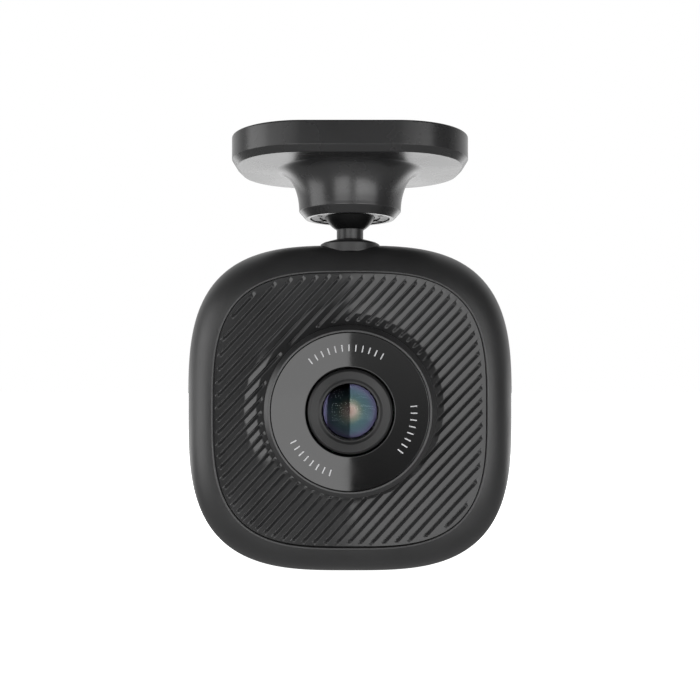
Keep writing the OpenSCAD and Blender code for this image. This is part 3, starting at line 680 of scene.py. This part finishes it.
grid_u = np.tile(rows, (len(columns), 1))
sunk = np.zeros_like(grid_u)
for i, (v, centre, share) in enumerate(columns):
    if share == 0:
        continue
    for start, end in spans[centre]:
        for stop in (start, end):
            grid_u[i, np.argmin(np.abs(rows - stop))] = stop
        reach = np.minimum(grid_u[i] - start, end - grid_u[i])
        sunk[i] = np.maximum(sunk[i], share * np.clip(reach / GROOVE_RUNOUT, 0, 1))
grid_v = np.tile([[c[0]] for c in columns], (1, len(rows)))
grid_x, grid_z = turned(grid_u, grid_v)
level = squircle_level(grid_x, grid_z, PANEL_OUT)
radius = np.hypot(grid_x, grid_z)
inside_zone = (level < 1) & (radius > PANEL_IN_R)
near = inside_zone.copy()
for dx in (-1, 0, 1):
    for dz in (-1, 0, 1):
        near |= np.roll(np.roll(inside_zone, dx, 0), dz, 1)
snap_out, snap_in = near & (level >= 1), near & (radius <= PANEL_IN_R)
for grid in (grid_x, grid_z):
    grid[snap_out] /= level[snap_out]
    grid[snap_in] *= PANEL_IN_R / radius[snap_in]
radius = np.hypot(grid_x, grid_z)
forward = funnel(radius) - GROOVE_DEPTH * sunk
index = -np.ones(near.shape, int)
index[near] = np.arange(near.sum())
front_points = np.stack([grid_x[near], -forward[near], AXIS_Z + grid_z[near]], 1)
back_points = np.stack([grid_x[near], -(funnel(radius[near]) - PANEL_T), AXIS_Z + grid_z[near]], 1)
total = len(front_points)
panel_faces, edge_use = [], {}
for i in range(len(columns) - 1):
    for j in range(len(rows) - 1):
        quad = (index[i, j], index[i + 1, j], index[i + 1, j + 1], index[i, j + 1])
        if min(quad) < 0 or not (inside_zone[i:i + 2, j:j + 2].any()):
            continue
        panel_faces.append(quad)
        for a, b in zip(quad, quad[1:] + quad[:1]):
            edge_use.setdefault((min(a, b), max(a, b)), []).append((a, b))
walls = [(a + total, b + total, b, a) for uses in edge_use.values() if len(uses) == 1 for a, b in uses]
panel_all = panel_faces + [tuple(v + total for v in reversed(q)) for q in panel_faces] + walls
panel_mesh = bpy.data.meshes.new("ribbed_panel")
panel_mesh.from_pydata((np.concatenate([front_points, back_points]) * MM).tolist(), [], panel_all)
bm = bmesh.new()
bm.from_mesh(panel_mesh)
bmesh.ops.delete(bm, geom=[v for v in bm.verts if not v.link_faces], context="VERTS")
bmesh.ops.remove_doubles(bm, verts=bm.verts, dist=PANEL_WELD * MM)
bmesh.ops.recalc_face_normals(bm, faces=bm.faces)
bm.to_mesh(panel_mesh)
bm.free()
panel_mesh.shade_smooth()
panel_mesh.set_sharp_from_angle(angle=math.radians(50))
panel = bpy.data.objects.new("ribbed_panel", panel_mesh)
bpy.context.scene.collection.objects.link(panel)
finish_piece(panel, FASCIA, "camera", "fascia_plastic", "fascia")

# ============================ lens ============================

TRIM_BACK, TRIM_BEVEL, TRIM_LIP, TRIM_IN_R = 1.6, 0.78, 0.42, 8.6
DISC_SEAT, DISC_BACK, DISC_FACE = LENS_FRONT - 1.2, LENS_FRONT - 1.15, LENS_FRONT - 0.2
trim = turn_y("lens_trim", [
    (TRIM_R, TRIM_BACK), (TRIM_R, LENS_FRONT - TRIM_BEVEL, 0.3), (DISC_R + TRIM_LIP, LENS_FRONT, 0.14),
    (DISC_R + FIT, LENS_FRONT, 0.1), (DISC_R + FIT, DISC_SEAT), (TRIM_IN_R, DISC_SEAT),
    (TRIM_IN_R, TRIM_BACK),
], closed=True)
finish_piece(trim, TRIM, "camera", "trim_plastic", "lens_trim_ring")

disc = turn_y("gloss_disc", [
    (DISC_R, DISC_BACK), (DISC_R, DISC_FACE, 0.1), (DISC_HOLE_R, DISC_FACE, 0.12), (DISC_HOLE_R, DISC_BACK),
], closed=True)
finish_piece(disc, GLOSS, "camera", "gloss_black", "lens_face_disc")

# printed ticks on three arcs of the disc
TICK_R, TICK_LONG, TICK_WIDE, TICK_PROUD, TICK_ROOT = 10.95, 1.15, 0.2, 0.02, 0.25
TICK_ARCS = ((60, 128, 12), (208, 252, 8), (-38, 5, 8))      # first and last degree, and how many
ticks = []
for start, end, count in TICK_ARCS:
    for k in range(count):
        a = math.radians(start + (end - start) * k / (count - 1))
        radial, across = np.array([math.cos(a), math.sin(a)]), np.array([-math.sin(a), math.cos(a)])
        corners = []
        for along, side in ((-1, -1), (1, -1), (1, 1), (-1, 1)):
            corners.append(radial * (TICK_R + along * TICK_LONG / 2) + across * side * TICK_WIDE / 2)
        low, high = LENS_FRONT - TICK_ROOT, DISC_FACE + TICK_PROUD
        verts = [(c[0], -f, AXIS_Z + c[1]) for f in (low, high) for c in corners]
        faces = [(0, 1, 2, 3), (4, 5, 6, 7)] + [(i, (i + 1) % 4, 4 + (i + 1) % 4, 4 + i) for i in range(4)]
        ticks.append(make_object("tick", verts, faces))
marks = joined("disc_ticks", ticks)
finish_piece(marks, PRINT, "camera", "gloss_black")

CELL_R, CELL_CREST_R, CELL_BACK = 7.3, 6.9, LENS_FRONT - 2.2
front_ring = turn_y("lens_cell_ring", [
    (GLASS_R + FIT, CELL_BACK), (GLASS_R + FIT, LENS_FRONT - 0.55, 0.06),
    (GLASS_R + 0.35, LENS_FRONT - 0.5, 0.08), (GLASS_R + 0.75, LENS_FRONT - 0.3, 0.2),
    (CELL_CREST_R, LENS_FRONT - 0.1, 0.25), (CELL_R, LENS_FRONT - 0.4, 0.2), (CELL_R, CELL_BACK),
], closed=True)
finish_piece(front_ring, LENS_METAL, "camera", "lens_metal", "lens_front_ring")


def dome(r, sphere, apex, steps=16):
    """Profile of a spherical cap from its rim to its apex, forward of the stem axis."""
    angles = [math.asin(r / sphere) * (1 - k / steps) for k in range(steps + 1)]
    return [(sphere * math.sin(a), apex - sphere + sphere * math.cos(a)) for a in angles]


APEX, INNER_APEX = LENS_FRONT - 0.15, LENS_FRONT - 0.95
OUTER_SPHERE, INNER_SPHERE, HOLLOW_R = 13.0, 12.0, 4.3
GLASS_BACK, GLASS_STEP = LENS_FRONT - 1.9, LENS_FRONT - 1.25
outer_dome = dome(GLASS_R - 0.2, OUTER_SPHERE, APEX)
inner_dome = dome(HOLLOW_R, INNER_SPHERE, INNER_APEX)
lens_profile = [(0.0, inner_dome[-1][1])] + inner_dome[::-1][1:] + [
    (GLASS_R - 0.02, GLASS_BACK), (GLASS_R, GLASS_STEP)] + outer_dome[:-1] + [(0.0, APEX)]
front_lens = loft("front_glass", [circle_y(r, f) for r, f in lens_profile])
finish_piece(front_lens, FRONT_GLASS, "camera", "coated_glass", "front_lens")


def biconvex(name, r, middle, bulge, edge):
    sphere = (r * r + bulge * bulge) / (2 * bulge)
    cap = dome(r, sphere, edge / 2 + bulge)
    profile = [(0.0, middle - edge / 2 - bulge)] + [(a, middle - b) for a, b in cap[::-1][1:]]
    profile += [(a, middle + b) for a, b in cap[:-1]] + [(0.0, middle + edge / 2 + bulge)]
    return loft(name, [circle_y(a, b) for a, b in profile])


DISH_SPHERE, DISH_FORWARD, DISH_THICK, DISH_STEPS = 30.0, 9.5, 1.2, 20
dish_rise = DISH_SPHERE - math.sqrt(DISH_SPHERE ** 2 - DISH_R ** 2)
dish_profile = [(0.0, DISH_FORWARD - DISH_THICK), (DISH_R - 0.6, DISH_FORWARD - DISH_THICK),
                (DISH_R, DISH_FORWARD + dish_rise - 0.5)]
for step in range(DISH_STEPS, 0, -1):
    a = math.asin(DISH_R / DISH_SPHERE) * step / DISH_STEPS
    dish_profile.append((DISH_SPHERE * math.sin(a), DISH_FORWARD + DISH_SPHERE * (1 - math.cos(a))))
dish_profile.append((0.0, DISH_FORWARD))
dish = loft("second_element", [circle_y(r, f) for r, f in dish_profile])
finish_piece(dish, COATING_WITH_PAINTED_HIGHLIGHT, "camera", "coated_glass", "middle_lens")
rear_glass = biconvex("rear_glass", r=3.85, middle=2.6, bulge=0.8, edge=0.6)
finish_piece(rear_glass, INNER_GLASS, "camera", "coated_glass", "rear_lens")

# barrel with stepped baffles behind the front glass
BARREL_R, BARREL_BORE_R, BARREL_MOUTH_R = 6.5, 3.9, 4.78
BARREL_BACK, BARREL_FRONT = -0.6, LENS_FRONT - 2.25
BAFFLES, BAFFLE_LONG, BAFFLE_STEP, DISH_FIT = 4, 0.3, 0.03, 0.04
bore = [(BARREL_BORE_R, BARREL_BACK), (BARREL_BORE_R, DISH_FORWARD - 1.3),
        (DISH_R + DISH_FIT, DISH_FORWARD - 0.6)]
for k in range(BAFFLES):
    at = DISH_FORWARD - 0.5 + BAFFLE_LONG * k
    r = DISH_R + DISH_FIT + BAFFLE_STEP * k
    bore += [(r, at), (r + BAFFLE_STEP, at + BAFFLE_LONG / 2)]
barrel_profile = [(BARREL_R, BARREL_BACK), (BARREL_R, BARREL_FRONT, 0.1), (BARREL_MOUTH_R, BARREL_FRONT)]
barrel_profile += bore[:0:-1] + [bore[0]]
barrel = turn_y("lens_barrel_tube", barrel_profile, closed=True)
finish_piece(barrel, BAFFLE, "camera", "lens_metal", "lens_barrel")
IRIS_R, IRIS_HOLE_R = 3.85, 1.5
iris = turn_y("iris_blades", [(IRIS_R, 4.9), (IRIS_HOLE_R + 0.1, 5.0), (IRIS_HOLE_R, 5.05),
                              (IRIS_HOLE_R + 0.1, 5.1), (IRIS_R, 5.2)], closed=True)
finish_piece(iris, BAFFLE, "camera", "gloss_black", "aperture_stop")

# ============================ back ============================

KEY_IN_Y, KEY_FLANGE_Y, KEY_FLANGE_R = 13.4, 14.0, BUTTON_R + 1
button = turn_y("power_key", [
    (0.0, -KEY_IN_Y), (KEY_FLANGE_R, -KEY_IN_Y), (KEY_FLANGE_R, -KEY_FLANGE_Y, 0.1), (BUTTON_R, -14.05),
    (BUTTON_R, -(BACK_Y + 0.28), 0.35), (4.2, -(BACK_Y + 0.22), 0.3), (3.9, -(BACK_Y - 0.02), 0.3),
    (2.0, -(BACK_Y - 0.1), 1.5), (0.0, -(BACK_Y - 0.12)),
], n=160)
finish_piece(button, TRIM, "button", "trim_plastic", "power_button")

PIPE_R, PIPE_FLANGE_R, PIPE_IN_Y, PIPE_FLANGE_Y = 1.0, 1.6, 12.1, 13.3
pipe = turn_y("status_light", [
    (0.0, -PIPE_IN_Y), (PIPE_R, -PIPE_IN_Y), (PIPE_R, -PIPE_FLANGE_Y), (PIPE_FLANGE_R, -PIPE_FLANGE_Y),
    (PIPE_FLANGE_R, -14.1), (PIPE_R, -14.15), (PIPE_R, -(BACK_Y - 0.1), 0.25), (0.0, -(BACK_Y - 0.02)),
], z=LED_Z, n=96)
finish_piece(pipe, CLEAR, "camera", "clear_plastic", "light_pipe")

# ============================ CAD nodes that stay ============================

STAYING = {
    STEEL: ["cup_screws", "stud_washer", "stud_clip", "bracket_screws", "board_screws", "housing_screws",
            "card_socket", "usb_socket", "button_switch"],
    ALUMINIUM: ["stud_bracket", "heat_spreader"],
    RUBBER: ["grip_ring", "lens_gasket"],
    BAFFLE: ["lens_holder"],
    FILTER: ["ir_filter"],
    CHIP: ["processor", "memory_chips", "motion_sensor", "image_sensor", "power_inductor", "speaker",
           "memory_card"],
    BOARD: ["sensor_board", "main_board"],
    CONNECTOR: ["board_connector", "wifi_antenna"],
    THERMAL: ["thermal_pad"],
    SLEEVE: ["supercapacitors"],
    BRASS: ["microphone"],
    LED: ["status_led"],
}
for material, names in STAYING.items():
    for name in names:
        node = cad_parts[name]
        if not node.material_slots:
            node.data.materials.append(material)
        for slot in node.material_slots:
            slot.material = material

# ============================ floor, light and camera ============================

FLOOR_Z, FLOOR_HALF = -0.20, 3.0
FLOOR_FADE, FLOOR_GLOW = (0.3, 0.65), (0.06, 2.0)     # depth behind the object, and how bright it looks
WORLD_FADE, WORLD_GLOW = (0.0, 0.6), (0.06, 0.9)
SENSOR_MM, LENS_MM, CAMERA_AT = 36.0, 43.46, (0, -0.1565, -0.03856)


def light_panel(name, centre, target, width, height, radiance):
    """Soft light, given by how bright its face looks."""
    data = bpy.data.lights.new(name, "AREA")
    data.shape, data.size, data.size_y = "RECTANGLE", width, height
    data.energy = radiance * math.pi * width * height
    obj = bpy.data.objects.new(name, data)
    obj.rotation_mode = "QUATERNION"
    obj.rotation_quaternion = (Vector(target) - Vector(centre)).to_track_quat("-Z", "Y")
    obj.location = centre
    obj.visible_camera = False
    bpy.context.scene.collection.objects.link(obj)
    return obj


def glow_card(name, x0, x1, z0, z1, y, axis, low, high, start=None):
    """Upright card facing the object whose glow runs from low to high along an axis, from start if given."""
    mesh = bpy.data.meshes.new(name)
    mesh.from_pydata([(x0, y, z0), (x1, y, z0), (x1, y, z1), (x0, y, z1)], [], [(0, 1, 2, 3)])
    obj = bpy.data.objects.new(name, mesh)
    bpy.context.scene.collection.objects.link(obj)
    s = Shader(name)
    place = s.add("ShaderNodeSeparateXYZ", {"Vector": s.coords}).outputs[axis]
    ends = (x0, x1) if axis == "X" else (z0, z1)
    if start is not None:
        ends = (start, ends[1])
    s.put(Base_Color=(0, 0, 0, 1), Specular_IOR_Level=0.0, Emission_Color=(1, 1, 1, 1),
          Emission_Strength=s.ramp(place, *ends, low, high))
    mesh.materials.append(s.material)
    obj.visible_camera = False
    return obj


CARD_Y = -0.26
light_panel("front_card", (-0.08, CARD_Y, -0.09), (-0.08, 0, -0.09), 0.16, 0.18, 3.6)
light_panel("left_panel", (-0.50, -0.12, -0.02), (0, 0, -0.05), 0.34, 0.40, 3.0)
glow_card("right_shade", 0.0, 0.056, -0.19, 0.03, CARD_Y, "Z", 0.0, 1.15, start=-0.125)
glow_card("right_card", 0.056, 0.42, -0.16, -0.01, CARD_Y, "X", 5.0, 3.2)
glow_card("top_left_card", -0.40, -0.05, 0.032, 0.11, CARD_Y, "X", 3.0, 0.8)
glow_card("top_right_card", 0.05, 0.40, 0.032, 0.11, CARD_Y, "X", 0.8, 3.4)

floor_mesh = bpy.data.meshes.new("floor")
floor_corners = [(x * FLOOR_HALF, y * FLOOR_HALF, FLOOR_Z) for x, y in ((-1, -1), (1, -1), (1, 1), (-1, 1))]
floor_mesh.from_pydata(floor_corners, [], [(0, 1, 2, 3)])
floor = bpy.data.objects.new("floor", floor_mesh)
bpy.context.scene.collection.objects.link(floor)
paper = Shader("floor_paper")
texture = paper.noise(2.0, 3.0)
paper.put(Base_Color=paper.blend(texture, (0.40, 0.40, 0.40), (0.44, 0.44, 0.44)), Roughness=0.9,
          Specular_IOR_Level=0.0)
seen = paper.add("ShaderNodeLightPath").outputs["Is Camera Ray"]
place = paper.add("ShaderNodeSeparateXYZ", {"Vector": paper.coords}).outputs["Y"]
behind = paper.ramp(place, *FLOOR_FADE, *FLOOR_GLOW)
glow = paper.add("ShaderNodeMath", {0: seen, 1: behind}, operation="MAXIMUM").outputs["Value"]
paper.put(Emission_Color=(1, 1, 1, 1), Emission_Strength=glow)
floor.data.materials.append(paper.material)

world = bpy.data.worlds.new("studio")
bpy.context.scene.world = world
world.use_nodes = True
tree = world.node_tree
background = next(n for n in tree.nodes if n.type == "BACKGROUND")
path = tree.nodes.new("ShaderNodeLightPath")
coords = tree.nodes.new("ShaderNodeTexCoord")
split = tree.nodes.new("ShaderNodeSeparateXYZ")
tree.links.new(coords.outputs["Generated"], split.inputs["Vector"])
spread = tree.nodes.new("ShaderNodeMapRange")
spread.inputs["From Min"].default_value, spread.inputs["From Max"].default_value = WORLD_FADE
spread.inputs["To Min"].default_value, spread.inputs["To Max"].default_value = WORLD_GLOW
tree.links.new(split.outputs["Y"], spread.inputs["Value"])
most = tree.nodes.new("ShaderNodeMath")
most.operation = "MAXIMUM"
tree.links.new(path.outputs["Is Camera Ray"], most.inputs[0])
tree.links.new(spread.outputs["Result"], most.inputs[1])
tree.links.new(most.outputs["Value"], background.inputs["Strength"])
background.inputs["Color"].default_value = (1, 1, 1, 1)

bpy.context.scene.view_settings.view_transform = "Standard"

camera_data = bpy.data.cameras.new("camera")
camera_data.sensor_width, camera_data.lens = SENSOR_MM, LENS_MM
camera_data.clip_start = 0.005
camera = bpy.data.objects.new("camera", camera_data)
camera.location = CAMERA_AT
camera.rotation_euler = (math.pi / 2, 0, 0)
bpy.context.scene.collection.objects.link(camera)
bpy.context.scene.camera = camera
